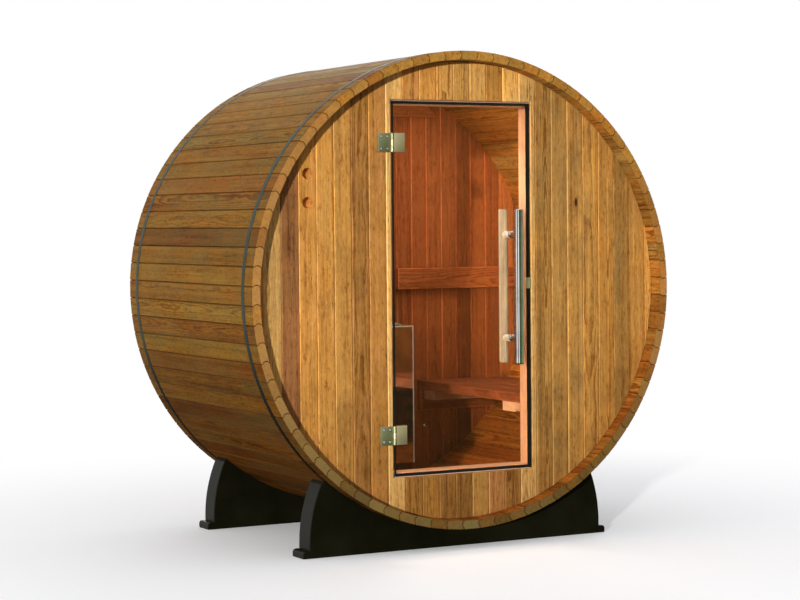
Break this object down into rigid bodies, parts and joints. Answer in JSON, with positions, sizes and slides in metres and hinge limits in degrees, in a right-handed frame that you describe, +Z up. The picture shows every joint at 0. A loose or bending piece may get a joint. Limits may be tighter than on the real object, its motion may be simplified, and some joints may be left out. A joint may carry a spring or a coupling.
{
  "type": "barrel sauna",
  "caption": "Wooden barrel sauna on black cradles, with a bronze glass door that swings outwards, facing benches and a heater.",
  "frame": {"origin": "on the ground, below the middle of the sauna's outer box", "axes": "+Z up, the door faces -Y, and the staves run along Y; +X is the door's latch side"},
  "size_m": [1.8318, 1.2354, 1.9064],
  "materials": {
    "cedar_staves": "oiled cedar",
    "cedar_boards": "oiled cedar",
    "cedar_timber": "bare cedar",
    "bench_timber": "bare cedar",
    "heater_steel": "polished",
    "stove_stone": "rough",
    "hinge_steel": "brushed",
    "band_steel": "dull",
    "cradle_black": "satin",
    "bronze_glass": "tinted",
    "seal_black": "satin",
    "chrome": "polished",
    "handle_wood": "smooth"
  },
  "bodies": {
    "cabin": {"stave_panel_01": "cedar_staves", "stave_panel_02": "cedar_staves", "stave_panel_03": "cedar_staves", "stave_panel_04": "cedar_staves", "stave_panel_05": "cedar_staves", "stave_panel_06": "cedar_staves", "stave_panel_07": "cedar_staves", "stave_panel_08": "cedar_staves", "stave_panel_09": "cedar_staves", "stave_panel_10": "cedar_staves", "stave_panel_11": "cedar_staves", "stave_panel_12": "cedar_staves", "stave_panel_13": "cedar_staves", "stave_panel_14": "cedar_staves", "stave_panel_15": "cedar_staves", "stave_panel_16": "cedar_staves", "front_wall_left": "cedar_boards", "front_wall_right": "cedar_boards", "front_wall_over_door": "cedar_boards", "front_wall_under_door": "cedar_boards", "back_wall_left": "cedar_boards", "back_wall_right": "cedar_boards", "door_jambs": "cedar_timber", "door_head": "cedar_timber", "door_sill": "cedar_timber", "top_cleat": "cedar_timber", "middle_battens": "cedar_timber", "bench_ledgers": "cedar_timber", "bench_rails": "cedar_timber", "left_bench_seat": "bench_timber", "right_bench_seat": "bench_timber", "heater_case": "heater_steel", "heater_stones": "stove_stone", "heater_brackets": "hinge_steel", "front_band": "band_steel", "rear_band": "band_steel", "front_cradle": "cradle_black", "rear_cradle": "cradle_black", "hinge_leaves": "hinge_steel"},
    "door": {"hinge_clamps": "hinge_steel", "door_glass": "bronze_glass", "door_seal": "seal_black", "outer_handle": "chrome", "inner_handle": "handle_wood", "door_catch": "hinge_steel"}
  },
  "joints": [
    {"name": "door_hinge", "type": "hinge", "parent": "cabin", "child": "door", "pos_m": [-0.30575, -0.55025, 1.0015], "axis": [0, 0, -1], "range_deg": [0, 110]}
  ]
}
